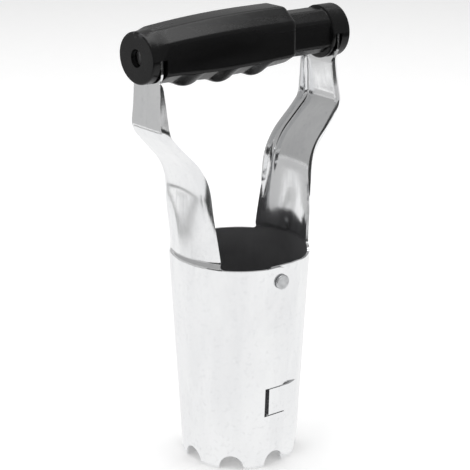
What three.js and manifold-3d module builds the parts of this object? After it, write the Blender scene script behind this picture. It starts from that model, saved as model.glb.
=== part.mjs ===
// Bulb planter: a toothed steel tube in two halves, riveted together like tongs near the rim. Each half
// carries an arm up to a telescoping plastic handle. Squeezing the handle opens the tube's lower end.
// Millimetres, +Z up. The tube stands on its teeth around the origin, and the handle runs along X.
import * as THREE from "three";
import { mergeVertices } from "three/addons/utils/BufferGeometryUtils.js";
import Module from "manifold-3d";

const wasm = await Module();
wasm.setup();

// ---- Driving dimensions ----

// Tube, of which each half is one side with its two laps
const sheet = 1.2; // thickness of the pressed steel
const rimRadius = 35; // outside of the tube at its upper rim
const cutRadius = 29.25; // outside of the tube at its teeth
const tubeHeight = 107;
const padAngle = 13.5; // degrees on each side of the seam where the laps are flat
const outerLap = 6.5; // how far the outer lap reaches past the seam, at the rim
const innerLap = 5; // how far the inner lap reaches past it
const lapGap = 0.3; // running gap between the laps
const lapCorner = 9; // corner radius of the outer lap around the rivet
const joggleStart = 17.2; // distances from the seam between which the inner lap steps inwards
const joggleEnd = 9;

// Teeth: half-elliptic notches between flat-ended teeth
const notches = 8;
const notchAngle = 12.25; // half the width of a notch, in degrees
const notchHeight = 7.3;
const trim = 1; // the wall is drawn this much longer and trimmed level at the tooth tips

// Catch: a tab of the inner lap in a window of the outer lap
const windowLow = 28;
const windowHigh = 43.3;
const windowDepth = 7; // how far past the seam the window reaches
const flareHeight = 3.6;
const tabGapSide = 2;
const tabGap = 0.7; // above and below the tab

// Pivot
const pivotDrop = 7.7; // rivets below the rim
const rivetRadius = 2.5;
const rivetClearance = 0.1;
const rivetHead = 3.7;
const rivetHeadHeight = 1.2;
const headGap = 0.1; // at the upper edge of a head, where the slanted lap comes nearest

// Arms
const armAngle = 37.65; // half the width of an arm where it leaves the rim, in degrees
const baseFillet = 2;
const baseStep = 0.8; // how far the arm stands inside the tube's surface
const waistHeight = 152.5; // where the arm bends outwards
const waistBend = 26;
const kneeHeight = 174.8; // where it turns up again
const kneeInset = 4.8; // the knee and the arms' upper ends, from the ends of the handle
const kneeBend = 11;
const leftInset = 5.7;
const rightInset = 7.4;
const webShape = [
  // height, and half the width of the arm
  [107, 21],
  [125, 19.3],
  [141, 17.2],
  [152, 16],
  [162, 15.3],
  [171, 14.2],
  [178, 13.7],
  [186, 12.8],
  [194, 12.4],
  [202, 12.4],
];
const flangeShape = [
  // height, and the depths of the left arm's front and back flanges and of the right arm's
  [140, 3.8, 5.6, 4.4, 5.6],
  [165, 2.6, 4.4, 4.4, 4.4],
  [178, 3, 5.1, 4.6, 5.1],
  [200, 1, 2.6, 4.2, 2.6],
];
const channelBase = 109; // the arm's round section turns into a flat channel between these heights
const channelFull = 152;
const flangeBend = 3.4; // bend radius of the flanges, at mid-sheet
const flangeTop = 199;
const flangeShoulder = 2.5; // how much lower the flange ends at its free edge
const tongueHalf = 12.4;
const flattening = 6; // height over which the channel flattens into the tongue
const earRadius = 7;
const earHole = 2.8;

// Handle
const handleHeight = 210.3; // axis of the handle
const handleHalf = 58.9; // from the middle to each end
const capTop = 12.2; // the cap's half height and half width
const capSide = 14.2;
const capRound = 0.8;
const edgeRound = 1.2;
const gripTop = 16.2; // from the axis to the top of the grip, where it is highest
const gripTopX = 8;
const gripBelly = 13.3; // from the axis to the underside, where it is deepest
const gripBellyX = -20;
const gripSide = 15.1; // half width of the grip, where it is widest
const neckShown = 24; // length of the plunger's neck that shows outside the sleeve's mouth
const mouthRound = 4;
const bumps = 3;
const bumpFirst = 0.267; // place of the first finger bump, as a share of the sleeve's length
const bumpPitch = 0.246;
const bumpLength = 0.157;
const bumpDepth = 2.3;
const neckTop = 11.6;
const neckBottom = 9.8;
const neckHalf = 10.8;
const neckStart = 4; // inner end of the plunger
const neckClearance = 0.4;
const neckTravel = 20.6; // room for the plunger inside the sleeve
const endRadius = 13.1;
const endLength = 10.9; // of the plunger's round end
const endRound = 1.4;
const slotWidth = 3.9;
const slotClearance = 0.5;

// Spring and screws
const springBore = 7;
const springRadius = 5.6;
const springWire = 1.5;
const springCoils = 13;
const springGap = 0.4;
const bossLength = 6; // plastic between a slot and the spring
const accessRadius = 4.25;
const screwHead = 3.8;
const screwHeadHeight = 1.8;
const screwShoulder = 2.2;
const screwRadius = 1.8;
const screwClearance = 0.3;
const screwPlay = 0.6; // between the screw's head and the arm, which tilts in its slot

// ---- Derived places ----

const pivotHeight = tubeHeight - pivotDrop;
const rimMid = rimRadius - sheet / 2;
const cutMid = cutRadius - sheet / 2;
const armMid = rimMid - baseStep;
const wallTilt = (rimMid - cutMid) / tubeHeight;
const kneeReach = handleHalf - kneeInset; // middle of an arm's sheet, from the middle of the handle
const leftReach = handleHalf - leftInset;
const rightReach = handleHalf - rightInset;
const endStart = handleHalf - endLength;
const mouthX = endStart - neckShown; // where the sleeve ends
const sleeveLength = mouthX + handleHalf;
const flangeDrop = handleHeight - flangeTop; // from the handle's axis down to the flanges
const radians = THREE.MathUtils.degToRad;
const degrees = THREE.MathUtils.radToDeg;
const lerp = THREE.MathUtils.lerp;
const smooth = THREE.MathUtils.smoothstep;

// ---- Solids ----

// A closed three.js geometry as a manifold-3d solid.
function solid(geometry) {
  const bare = geometry.clone();
  bare.deleteAttribute("normal");
  bare.deleteAttribute("uv");
  const merged = mergeVertices(bare, 1e-4);
  const mesh = new wasm.Mesh({
    numProp: 3,
    vertProperties: merged.attributes.position.array,
    triVerts: new Uint32Array(merged.index.array),
  });
  return new wasm.Manifold(mesh);
}

function geometryOf(manifold) {
  const mesh = manifold.getMesh();
  const geometry = new THREE.BufferGeometry();
  geometry.setAttribute("position", new THREE.BufferAttribute(mesh.vertProperties, 3));
  geometry.setIndex(new THREE.BufferAttribute(mesh.triVerts, 1));
  geometry.computeVertexNormals();
  return geometry;
}

function indexed(points, triangles) {
  const geometry = new THREE.BufferGeometry();
  const numbers = points.flatMap((p) => p.toArray());
  geometry.setAttribute("position", new THREE.Float32BufferAttribute(numbers, 3));
  geometry.setIndex(triangles);
  return geometry;
}

// A round bar along X from x0 to x1, and along Y from y0 to y1.
function barX(radius, x0, x1, z, sides = 32) {
  const bar = new THREE.CylinderGeometry(radius, radius, x1 - x0, sides);
  bar.rotateZ(-Math.PI / 2);
  bar.translate((x0 + x1) / 2, 0, z);
  return solid(bar);
}

function barY(radius, y0, y1, z, sides = 32) {
  const bar = new THREE.CylinderGeometry(radius, radius, y1 - y0, sides);
  bar.translate(0, (y0 + y1) / 2, z);
  return solid(bar);
}

function block(low, high) {
  const box = new THREE.BoxGeometry(high[0] - low[0], high[1] - low[1], high[2] - low[2]);
  box.translate((low[0] + high[0]) / 2, (low[1] + high[1]) / 2, (low[2] + high[2]) / 2);
  return solid(box);
}

// ---- Pressed sheet ----

// Gives a surface the thickness of the sheet, half on each side, with walls along its edges.
function thicken(points, triangles) {
  const middle = indexed(points, triangles);
  middle.computeVertexNormals();
  const normal = middle.attributes.normal;
  const shift = new THREE.Vector3();
  const moved = (p, i, by) => p.clone().addScaledVector(shift.fromBufferAttribute(normal, i), by);
  const face = (side) => points.map((p, i) => moved(p, i, (side * sheet) / 2));
  const count = points.length;
  const all = [...triangles];
  const edges = new Map();
  for (let i = 0; i < triangles.length; i += 3) {
    const corner = [triangles[i], triangles[i + 1], triangles[i + 2]];
    all.push(corner[0] + count, corner[2] + count, corner[1] + count);
    corner.forEach((a, k) => {
      const b = corner[(k + 1) % 3];
      if (!edges.delete(b + "," + a)) edges.set(a + "," + b, [a, b]);
    });
  }
  for (const [a, b] of edges.values()) {
    all.push(b, a, a + count);
    all.push(b, a + count, b + count);
  }
  return solid(indexed([...face(1), ...face(-1)], all));
}

// Columns of points, each running upwards, become one surface: neighbours join for as long as both run.
function weave(columns) {
  const start = [];
  let count = 0;
  for (const column of columns) {
    start.push(count);
    count += column.length;
  }
  const triangles = [];
  for (let i = 0; i + 1 < columns.length; i++) {
    const rows = Math.min(columns[i].length, columns[i + 1].length);
    for (let k = 0; k + 1 < rows; k++) {
      const a = start[i] + k;
      const b = start[i + 1] + k;
      triangles.push(a, b, b + 1, a, b + 1, a + 1);
    }
  }
  return thicken(columns.flat(), triangles);
}

// Sorted values with the gaps over the step filled evenly.
function filled(values, step) {
  const sorted = [...values].sort((a, b) => a - b);
  const out = [sorted[0]];
  for (const value of sorted.slice(1)) {
    const last = out[out.length - 1];
    if (value - last < 0.05) continue;
    const parts = Math.ceil((value - last) / step);
    for (let k = 1; k <= parts; k++) out.push(lerp(last, value, k / parts));
  }
  return out;
}

// ---- One half of the planter ----
// It is drawn as the right half: its arm leaves at angle 0 (+X), its inner lap is at the front (-Y) and its
// outer lap at the back. A column is named by its angle around the tube, negative at the front.

const middleRadius = (z) => lerp(cutMid, rimMid, Math.min(z / tubeHeight, 1));
const lapAngle = (reach) => 90 + degrees(Math.asin(reach / rimMid));

function jogglePart(angle) {
  if (angle > 0) return 0;
  const fromSeam = rimMid * Math.cos(radians(angle));
  return 1 - smooth(fromSeam, joggleEnd, joggleStart);
}

// A point of the tube's wall, without the inner lap's joggle when joggled is false.
function wallPoint(angle, z, joggled = true) {
  const radius = middleRadius(z) - baseStep * stepPart(angle, z);
  const flat = Math.cos(radians(padAngle));
  const side = THREE.MathUtils.clamp(Math.sin(radians(angle)), -flat, flat);
  const inwards = joggled ? (sheet + lapGap) * jogglePart(angle) : 0;
  return new THREE.Vector3(radius * Math.cos(radians(angle)), radius * side + inwards, z);
}

// The step at the foot of the arm: 0 on the tube, 1 on the arm. It is steepest at the crown.
function stepPart(angle, z) {
  const spread = 1.2 + 1.4 * Math.min(Math.abs(angle) / armAngle, 1) ** 2;
  const middle = tubeHeight + baseFillet;
  return smooth(z, middle - spread, middle + spread);
}

function toothBottom(angle) {
  const pitch = 360 / notches;
  const away = Math.abs(angle - pitch * Math.round(angle / pitch)) / notchAngle;
  return away < 1 ? notchHeight * Math.sqrt(1 - away * away) : -trim;
}

// Upper edge of the tube: the fillet that rises to the arm, and the outer lap's round corner.
function rimTop(angle) {
  const fromArm = radians(Math.max(Math.abs(angle) - armAngle, 0)) * rimMid;
  const rise = Math.max(baseFillet - fromArm, 0);
  const x = rimMid * Math.cos(radians(angle));
  const pastCorner = Math.min(Math.max(lapCorner - outerLap - x, 0), lapCorner);
  const round = angle > 0 ? lapCorner - Math.sqrt(lapCorner ** 2 - pastCorner ** 2) : 0;
  return tubeHeight + baseFillet - Math.sqrt(baseFillet ** 2 - rise ** 2) - round;
}

// An arm's crown line at mid-sheet, in the XZ plane, for its reach inside the handle.
function crownLine(reach) {
  const corners = [
    new THREE.Vector2(armMid, tubeHeight + baseFillet),
    new THREE.Vector2(armMid, waistHeight),
    new THREE.Vector2(kneeReach, kneeHeight),
    new THREE.Vector2(reach, kneeHeight + 2 * kneeBend),
    new THREE.Vector2(reach, handleHeight),
  ];
  const path = new THREE.Path();
  path.moveTo(corners[0].x, corners[0].y);
  const bends = [waistBend, kneeBend, kneeBend];
  bends.forEach((radius, i) => {
    const corner = corners[i + 1];
    const before = corners[i].clone().sub(corner).normalize();
    const after = corners[i + 2].clone().sub(corner).normalize();
    const cut = radius * Math.tan((Math.PI - before.angleTo(after)) / 2);
    const enter = corner.clone().addScaledVector(before, cut);
    const leave = corner.clone().addScaledVector(after, cut);
    path.lineTo(enter.x, enter.y);
    path.quadraticCurveTo(corner.x, corner.y, leave.x, leave.y);
  });
  path.lineTo(corners[4].x, corners[4].y);
  return path;
}

// side is -1 for the left arm and 1 for the right one.
function makeArm(side) {
  const crown = crownLine(side < 0 ? leftReach : rightReach);
  return { side, crown, length: crown.getLength() };
}

const tonguePart = 0.88; // share of the arm's developed width that runs on into the tongue
const tongueAngle = tonguePart * armAngle;

// A value between the rows of a table of heights and values, without kinks.
function between(table, z, column = 1) {
  const last = table.length - 1;
  const above = table.findIndex((entry) => entry[0] > z);
  const row = above < 0 ? last - 1 : Math.max(above - 1, 0);
  const at = (k) => table[THREE.MathUtils.clamp(k, 0, last)];
  const [z0, z1] = [at(row)[0], at(row + 1)[0]];
  const t = THREE.MathUtils.clamp((z - z0) / (z1 - z0), 0, 1);
  const slope = (k) => (at(k + 1)[column] - at(k - 1)[column]) / (at(k + 1)[0] - at(k - 1)[0]);
  const [v0, v1] = [at(row)[column], at(row + 1)[column]];
  const [d0, d1] = [slope(row) * (z1 - z0), slope(row + 1) * (z1 - z0)];
  return v0 + t * d0 + t * t * (3 * (v1 - v0) - 2 * d0 - d1) + t ** 3 * (2 * (v0 - v1) + d0 + d1);
}

// Cross-sections of the arm: place sideways and depth behind the crown, for a part of its width
// from -1 to 1.
function arcSection(part, z) {
  const half = Math.asin(between(webShape, z) / armMid);
  return [armMid * Math.sin(part * half), armMid * (1 - Math.cos(part * half))];
}

function channelSection(part, z, side) {
  const half = between(webShape, z);
  const backwards = part * side > 0 ? 1 : 0;
  const depth = between(flangeShape, z, (side < 0 ? 1 : 3) + backwards);
  const fullTurn = Math.acos(Math.max(1 - depth / flangeBend, 0));
  const developed = half - flangeBend + flangeBend * fullTurn + Math.max(depth - flangeBend, 0);
  const along = Math.abs(part) * developed;
  const turn = THREE.MathUtils.clamp((along - half + flangeBend) / flangeBend, 0, Math.PI / 2);
  const flange = Math.max(along - half + flangeBend - (Math.PI / 2) * flangeBend, 0);
  const web = Math.min(along, half - flangeBend);
  const outwards = web + flangeBend * Math.sin(turn);
  return [Math.sign(part) * outwards, flangeBend * (1 - Math.cos(turn)) + flange];
}

// A point of an arm, at a length along its crown line and a column's angle.
function armPoint(arm, angle, length) {
  const share = THREE.MathUtils.clamp(length / arm.length, 0, 1);
  const at = arm.crown.getPointAt(share);
  const direction = arm.crown.getTangentAt(share);
  const height = at.y;
  const part = angle / armAngle;
  const arc = arcSection(part, height);
  const channel = channelSection(part, height, arm.side);
  const pressed = smooth(height, channelBase, channelFull);
  const flattened = smooth(height, flangeTop - 1, flangeTop + flattening - 1);
  const flat = (part / tonguePart) * tongueHalf;
  const side = lerp(lerp(arc[0], channel[0], pressed), flat, flattened);
  const depth = lerp(lerp(arc[1], channel[1], pressed), 0, flattened) + foot(angle, height);
  return new THREE.Vector3(at.x - direction.y * depth, side, at.y + direction.x * depth);
}

// What is left of the step outwards to the tube, just above the rim.
const foot = (angle, z) => -baseStep * (1 - stepPart(angle, z));

// Lengths along the crown line at which the arm has a row, for one column.
function armRows(arm, angle) {
  const top = arm.length - flangeDrop;
  const outside = Math.max(Math.abs(angle) - tongueAngle, 0) / (armAngle - tongueAngle);
  const end = top - flangeShoulder * outside ** 2;
  const bends = arm.crown.getCurveLengths().slice(0, 4); // lengths where the bends start and end
  const last = bends[3];
  const lowered = (length) => lerp(last, end, (length - last) / (top - last));
  return filled([2, 5, ...bends, top], rowStep).map((length) => (length > last ? lowered(length) : length));
}

// Rows of the tongue above the flanges, up to the shoulders and the round ear.
function tongueRows(arm, angle) {
  const start = arm.length - flangeDrop;
  const side = (angle / tongueAngle) * tongueHalf;
  const ear = Math.sqrt(Math.max(earRadius ** 2 - side ** 2, 0));
  const flat = start + flattening;
  return [(start + flat) / 2, flat, (flat + arm.length) / 2, arm.length].map((length) => [length, ear]);
}

const columnStep = 5.6;
const rowStep = 6;

function columnAngles() {
  const pitch = 360 / notches;
  const angles = [0, armAngle, tongueAngle, 90 - padAngle];
  for (let notch = 0; notch * pitch <= 90; notch++) {
    for (const part of [-1, -0.92, -0.6, 0, 0.6, 0.92, 1]) angles.push(notch * pitch + part * notchAngle);
  }
  for (const part of [0.35, 1, 2]) angles.push(armAngle + degrees((part * baseFillet) / 2 / rimMid));
  for (const part of [0.6, 0.7, 0.8, 0.9]) angles.push(part * armAngle);
  const earEdge = earRadius / tongueHalf;
  for (const part of [earEdge, 0.9 * earEdge]) angles.push(part * tongueAngle);
  const joggle = [joggleStart, joggleEnd].map((x) => degrees(Math.acos(x / rimMid)));
  const front = [...angles, ...joggle];
  const back = [...angles, ...[0.35, 0.65, 0.85].map((part) => lapAngle(part * outerLap))];
  const keep = (list, end) => [...list.filter((angle) => angle > 0 && angle < end - 0.4), end];
  const negative = keep(front, lapAngle(innerLap)).map((angle) => -angle);
  return filled([...negative, 0, ...keep(back, lapAngle(outerLap))], columnStep);
}

function column(arm, angle) {
  const low = toothBottom(angle);
  const high = rimTop(angle);
  const heights = [low, lerp(low, high, 0.5), high - baseFillet - 1, high];
  const points = heights.map((z) => wallPoint(angle, z));
  if (Math.abs(angle) > armAngle + 1e-6) return points;
  for (const length of armRows(arm, angle)) points.push(armPoint(arm, angle, length));
  if (Math.abs(angle) > tongueAngle + 1e-6) return points;
  for (const [length, ear] of tongueRows(arm, angle)) {
    const point = armPoint(arm, angle, length);
    const above = (point.z - flangeTop) / flangeDrop;
    point.z += ear * above;
    points.push(point);
  }
  return points;
}

// The catch tab: a strip of the wall that isn't joggled, so it lies in the other half's window.
function tabStrip() {
  const first = -lapAngle(windowDepth - tabGapSide);
  const last = -degrees(Math.acos((joggleStart - 2.5) / rimMid));
  const columns = filled([first, -90, last], columnStep).map((angle) =>
    [windowLow + tabGap, windowHigh - tabGap].map((z) => wallPoint(angle, z, false)),
  );
  return weave(columns);
}

// The upper corner of the window at the lap's free edge, cut away at a slant.
function windowFlare() {
  const corner = new THREE.Shape();
  corner.moveTo(-outerLap / 2, windowHigh - 1);
  corner.lineTo(-outerLap / 2, windowHigh - 0.3);
  corner.lineTo(-1.2 * outerLap, windowHigh + flareHeight);
  corner.lineTo(-1.2 * outerLap, windowHigh - 1);
  const prism = new THREE.ExtrudeGeometry(corner, { depth: 2 * rimRadius, bevelEnabled: false });
  prism.rotateX(Math.PI / 2);
  prism.rotateX(Math.PI);
  return solid(prism);
}

function half(arm) {
  const far = 2 * rimRadius;
  const scale = middleRadius((windowLow + windowHigh) / 2) / rimMid;
  const windowCut = block([-far, 0, windowLow], [windowDepth, far, windowHigh]);
  const tabEdge = tabGap - lapGap;
  const tabCut = block([-far, -far, windowLow + tabEdge], [joggleEnd * scale, 0, windowHigh - tabEdge]);
  const rivetCut = barY(rivetRadius + rivetClearance, -far, far, pivotHeight);
  const screwCut = barX(earHole, 0, far, handleHeight);
  const trimCut = block([-far, -far, -2 * trim], [far, far, 0]);
  return weave(columnAngles().map((angle) => column(arm, angle)))
    .subtract(windowCut)
    .subtract(windowFlare())
    .subtract(tabCut)
    .add(tabStrip())
    .subtract(trimCut)
    .subtract(rivetCut)
    .subtract(screwCut);
}

// ---- Rivets ----

// A rivet at the front, with its flat heads outside and inside the two laps.
function rivet() {
  const gap = headGap + wallTilt * rivetHead;
  const outside = wallPoint(90, pivotHeight).y + sheet / 2 + gap;
  const inside = wallPoint(90, pivotHeight).y - 1.5 * sheet - lapGap - gap;
  const edge = rivetHeadHeight / 3;
  const profile = [
    [0, outside + rivetHeadHeight],
    [rivetHead - edge, outside + rivetHeadHeight],
    [rivetHead, outside + rivetHeadHeight - edge],
    [rivetHead, outside],
    [rivetRadius, outside],
    [rivetRadius, inside],
    [rivetHead - edge, inside],
    [rivetHead - edge, inside - rivetHeadHeight],
    [0, inside - rivetHeadHeight],
  ];
  const turned = new THREE.LatheGeometry(profile.reverse().map(([r, y]) => new THREE.Vector2(r, y)), 32);
  turned.rotateZ(Math.PI);
  turned.translate(0, 0, pivotHeight);
  return turned;
}

// ---- Handle ----

// A cross-section of the handle: an octagon with its long flats at the sides, or an ellipse, or part
// way. A bump lowers only the octagon's bottom flat.
function ring(x, top, bottom, side, { roundness = 0, ellipse = [top, top], bump = 0 } = {}) {
  const octagon = [
    [side, 0.61 * top],
    [0.43 * side, top],
    [-0.43 * side, top],
    [-side, 0.61 * top],
    [-side, -0.58 * bottom],
    [-0.45 * side, -bottom - bump],
    [0.45 * side, -bottom - bump],
    [side, -0.58 * bottom],
  ].map(([y, z]) => new THREE.Vector2(y, z));
  const points = [];
  octagon.forEach((corner, i) => {
    const last = octagon[(i + 7) % 8];
    const next = octagon[(i + 1) % 8];
    const before = last.clone().sub(corner).setLength(edgeRound).add(corner);
    const after = next.clone().sub(corner).setLength(edgeRound).add(corner);
    const middle = before.clone().add(after).multiplyScalar(0.25).addScaledVector(corner, 0.5);
    points.push(before, middle, after, corner.clone().lerp(next, 0.5));
  });
  return points.map((p, i) => {
    const angle = ((i + 1) / points.length) * 2 * Math.PI; // every fourth point is a flat's middle
    p.lerp(new THREE.Vector2(ellipse[0] * Math.cos(angle), ellipse[1] * Math.sin(angle)), roundness);
    return new THREE.Vector3(x, p.x, handleHeight + p.y);
  });
}

// Rings along +X, joined into a closed solid with flat ends.
function loft(rings) {
  const sides = rings[0].length;
  const points = rings.flat();
  const triangles = [];
  for (let k = 0; k + 1 < rings.length; k++) {
    for (let i = 0; i < sides; i++) {
      const a = k * sides + i;
      const b = k * sides + ((i + 1) % sides);
      triangles.push(a, b, b + sides, a, b + sides, a + sides);
    }
  }
  const middle = (r) => r.reduce((sum, p) => sum.add(p), new THREE.Vector3()).divideScalar(sides);
  const first = points.push(middle(rings[0])) - 1;
  const last = points.push(middle(rings[rings.length - 1])) - 1;
  const lastRing = (rings.length - 1) * sides;
  for (let i = 0; i < sides; i++) {
    const next = (i + 1) % sides;
    triangles.push(first, next, i, last, lastRing + i, lastRing + next);
  }
  return solid(indexed(points, triangles));
}

const bumpMiddle = (i) => (bumpFirst + i * bumpPitch) * sleeveLength - handleHalf;

function bumpAt(x) {
  let depth = 0;
  for (let i = 0; i < bumps; i++) {
    const away = (2 * (x - bumpMiddle(i))) / (bumpLength * sleeveLength);
    if (Math.abs(away) < 1) depth += bumpDepth * (1 - away * away) ** 0.8;
  }
  return depth;
}

// The grip's cross-section at x: it grows from the oval cap to the crowned barrel and closes in at
// its mouth.
function gripRing(x) {
  const back = THREE.MathUtils.clamp((gripTopX - x) / (gripTopX + handleHalf), 0, 1);
  const top = lerp(gripTop, capTop - 0.3, back ** 2);
  const side = lerp(gripSide, capSide, back ** 2);
  const forward = Math.max(x - gripBellyX, 0) / (mouthX - gripBellyX);
  const rise = smooth(gripBellyX - x, 0, 30) * 1.5;
  const bottom = gripBelly - rise - 2.2 * forward ** 2;
  const closing = THREE.MathUtils.clamp((x - mouthX + mouthRound) / mouthRound, 0, 1);
  const keep = Math.sqrt(1 - closing ** 2);
  const wall = neckClearance + edgeRound;
  const shut = (size, neck) => lerp(Math.min(neck + wall, size), size, keep);
  const roundness = 1 - smooth(x, -leftReach - slotWidth / 2, -leftReach + slotWidth);
  const ellipse = [side, Math.max(capTop, top)];
  const sizes = [shut(top, neckTop), shut(bottom, neckBottom), shut(side, neckHalf)];
  return ring(x, ...sizes, { roundness, ellipse, bump: bumpAt(x) });
}

function capRing(x, inset) {
  return ring(x, capTop, capTop, capSide, { roundness: 1, ellipse: [capSide - inset, capTop - inset] });
}

// The slot for an arm's tongue, open downwards, with a round pocket for the ear above it.
function armSlot(x) {
  const low = x - slotWidth / 2;
  const high = x + slotWidth / 2;
  const far = 2 * endRadius;
  const slot = block([low, -far, handleHeight - far], [high, far, handleHeight + slotClearance]);
  return slot.add(barX(earRadius + slotClearance, low, high, handleHeight));
}

// The plastic that holds a screw ends this far from the handle's middle.
const bossEnd = (reach) => reach - slotWidth / 2 - bossLength;

function gripSleeve() {
  const bumpEdges = [];
  for (let i = 0; i < bumps; i++) {
    for (const part of [-0.5, -0.4, -0.25, 0, 0.25, 0.4, 0.5]) {
      bumpEdges.push(bumpMiddle(i) + part * bumpLength * sleeveLength);
    }
  }
  const mouth = [1, 0.7, 0.4, 0.15, 0].map((part) => mouthX - part * mouthRound);
  const slotSides = [-0.5, 0, 0.5, 1].map((part) => -leftReach + part * slotWidth);
  const stations = filled([-handleHalf + capRound, ...slotSides, ...bumpEdges, ...mouth], 6);
  const outside = loft([
    capRing(-handleHalf, capRound),
    capRing(-handleHalf + 0.3 * capRound, 0.3 * capRound),
    ...stations.map(gripRing),
  ]);
  const pocket = [neckTop, neckBottom, neckHalf].map((size) => size + neckClearance);
  const pocketRing = (x) => ring(x, ...pocket);
  return outside
    .subtract(loft([pocketRing(neckStart - neckTravel), pocketRing(2 * mouthX)]))
    .subtract(barX(springBore, -bossEnd(leftReach), neckStart, handleHeight))
    .subtract(armSlot(-leftReach))
    .subtract(barX(accessRadius, -2 * handleHalf, -leftReach, handleHeight))
    .subtract(barX(screwRadius + screwClearance, -leftReach, -bossEnd(leftReach) - 0.8, handleHeight, 24));
}

function gripPlunger() {
  const neck = (x) => ring(x, neckTop, neckBottom, neckHalf);
  const round = (radius) => ({ roundness: 1, ellipse: [radius, radius] });
  const end = (x, inset) => ring(x, 1, 1, 1, round(endRadius - inset));
  const outside = loft([
    neck(neckStart),
    neck(endStart - 0.3),
    end(endStart, 0.8),
    end(endStart + 0.5, 0),
    end(handleHalf - endRound, 0),
    end(handleHalf - 0.35 * endRound, 0.25 * endRound),
    end(handleHalf, endRound),
  ]);
  return outside
    .subtract(barX(springBore, 0, bossEnd(rightReach), handleHeight))
    .subtract(armSlot(rightReach))
    .subtract(barX(accessRadius, rightReach, 2 * handleHalf, handleHeight))
    .subtract(barX(screwRadius + screwClearance, bossEnd(rightReach) + 0.8, rightReach, handleHeight, 24));
}

// ---- Spring and screws ----

class Helix extends THREE.Curve {
  getPoint(t) {
    const angle = 2 * Math.PI * springCoils * t;
    const inset = springGap + springWire / 2;
    return new THREE.Vector3(
      lerp(inset - bossEnd(leftReach), bossEnd(rightReach) - inset, t),
      springRadius * Math.cos(angle),
      handleHeight + springRadius * Math.sin(angle),
    );
  }
}

function returnSpring() {
  const section = new THREE.Shape();
  section.absarc(0, 0, springWire / 2, 0, 2 * Math.PI);
  const steps = springCoils * 10;
  return new THREE.ExtrudeGeometry(section, { extrudePath: new Helix(), steps, curveSegments: 3 });
}

// A shoulder screw on the handle's axis, drawn for the right end: its head is outside the arm and its
// thread in the plastic inside it.
function handleScrew(reach) {
  const faceX = reach + sheet / 2 + screwPlay;
  const shoulderX = bossEnd(reach) + bossLength + screwClearance;
  const tipX = bossEnd(reach) + 1.2;
  const profile = [
    [0, tipX],
    [screwRadius, tipX],
    [screwRadius, shoulderX],
    [screwShoulder, shoulderX],
    [screwShoulder, faceX],
    [screwHead, faceX],
    [screwHead, faceX + screwHeadHeight],
    [0, faceX + screwHeadHeight],
  ];
  const turned = new THREE.LatheGeometry(profile.map(([r, x]) => new THREE.Vector2(r, x)), 24);
  turned.rotateZ(-Math.PI / 2);
  turned.translate(0, 0, handleHeight);
  const drive = block([faceX + screwHeadHeight / 2, -0.5, 0], [2 * handleHalf, 0.5, 2 * handleHeight]);
  return solid(turned).subtract(drive);
}

// ---- Assembly ----

const steel = new THREE.MeshStandardMaterial({ color: 0xe6e8ea, roughness: 0.22, metalness: 1 });
const rivetSteel = new THREE.MeshStandardMaterial({ color: 0xc9cbcc, roughness: 0.35, metalness: 1 });
const springSteel = new THREE.MeshStandardMaterial({ color: 0x9a9da0, roughness: 0.3, metalness: 1 });
const blackPlastic = new THREE.MeshStandardMaterial({ color: 0x1d1d1e, roughness: 0.45, metalness: 0 });

function named(name, geometry, material) {
  const mesh = new THREE.Mesh(geometry, material);
  mesh.name = name;
  return mesh;
}

const planter = new THREE.Group();
const leftHalf = named("left_half", geometryOf(half(makeArm(-1))), steel);
leftHalf.rotation.z = Math.PI; // the laps of both halves are the same, so they close on each other
const rearRivet = named("rear_rivet", rivet(), rivetSteel);
rearRivet.rotation.z = Math.PI;
const leftScrew = named("left_handle_screw", geometryOf(handleScrew(leftReach)), springSteel);
leftScrew.rotation.z = Math.PI;
planter.add(
  leftHalf,
  named("right_half", geometryOf(half(makeArm(1))), steel),
  named("front_rivet", rivet(), rivetSteel),
  rearRivet,
  named("grip_sleeve", geometryOf(gripSleeve()), blackPlastic),
  named("grip_plunger", geometryOf(gripPlunger()), blackPlastic),
  named("return_spring", returnSpring(), springSteel),
  leftScrew,
  named("right_handle_screw", geometryOf(handleScrew(rightReach)), springSteel),
);

export default planter;
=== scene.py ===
"""A bulb planter of bright pressed steel with a black moulded handle, on a pale studio floor.

The steel halves, the handle, the rivets and the spring are drawn finely from the planter's own sizes, in
millimetres, and put in the frame in metres. The two screws inside the handle stay as the frame has them.
"""

import math

import bmesh
import bpy
import numpy as np
from mathutils import Matrix, Vector


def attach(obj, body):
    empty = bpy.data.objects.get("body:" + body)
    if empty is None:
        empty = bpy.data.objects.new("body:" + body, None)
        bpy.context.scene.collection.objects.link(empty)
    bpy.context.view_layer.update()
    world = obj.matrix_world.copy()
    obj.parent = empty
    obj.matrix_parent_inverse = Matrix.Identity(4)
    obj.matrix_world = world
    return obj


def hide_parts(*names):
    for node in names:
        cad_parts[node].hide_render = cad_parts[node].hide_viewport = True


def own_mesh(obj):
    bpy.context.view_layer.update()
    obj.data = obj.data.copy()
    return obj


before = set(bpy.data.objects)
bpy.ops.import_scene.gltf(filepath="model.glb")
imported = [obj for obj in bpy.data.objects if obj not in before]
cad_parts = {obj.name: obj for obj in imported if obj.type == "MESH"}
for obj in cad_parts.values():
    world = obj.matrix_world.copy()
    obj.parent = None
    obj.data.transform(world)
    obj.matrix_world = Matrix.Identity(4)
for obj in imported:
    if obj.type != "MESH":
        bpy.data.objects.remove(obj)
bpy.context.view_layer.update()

MM = 0.001

# ---- Sizes, in millimetres ----

SHEET = 1.2
RIM_RADIUS = 35
CUT_RADIUS = 29.25
TUBE_HEIGHT = 107
PAD_ANGLE = 13.5
OUTER_LAP = 6.5
INNER_LAP = 5
LAP_GAP = 0.3
LAP_CORNER = 9
JOGGLE_START = 17.2
JOGGLE_END = 9

# Eight rounded notches leave eight flat tooth tips.
NOTCHES = 8
NOTCH_ANGLE = 12.25
NOTCH_HEIGHT = 7.3
TRIM = 1

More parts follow.
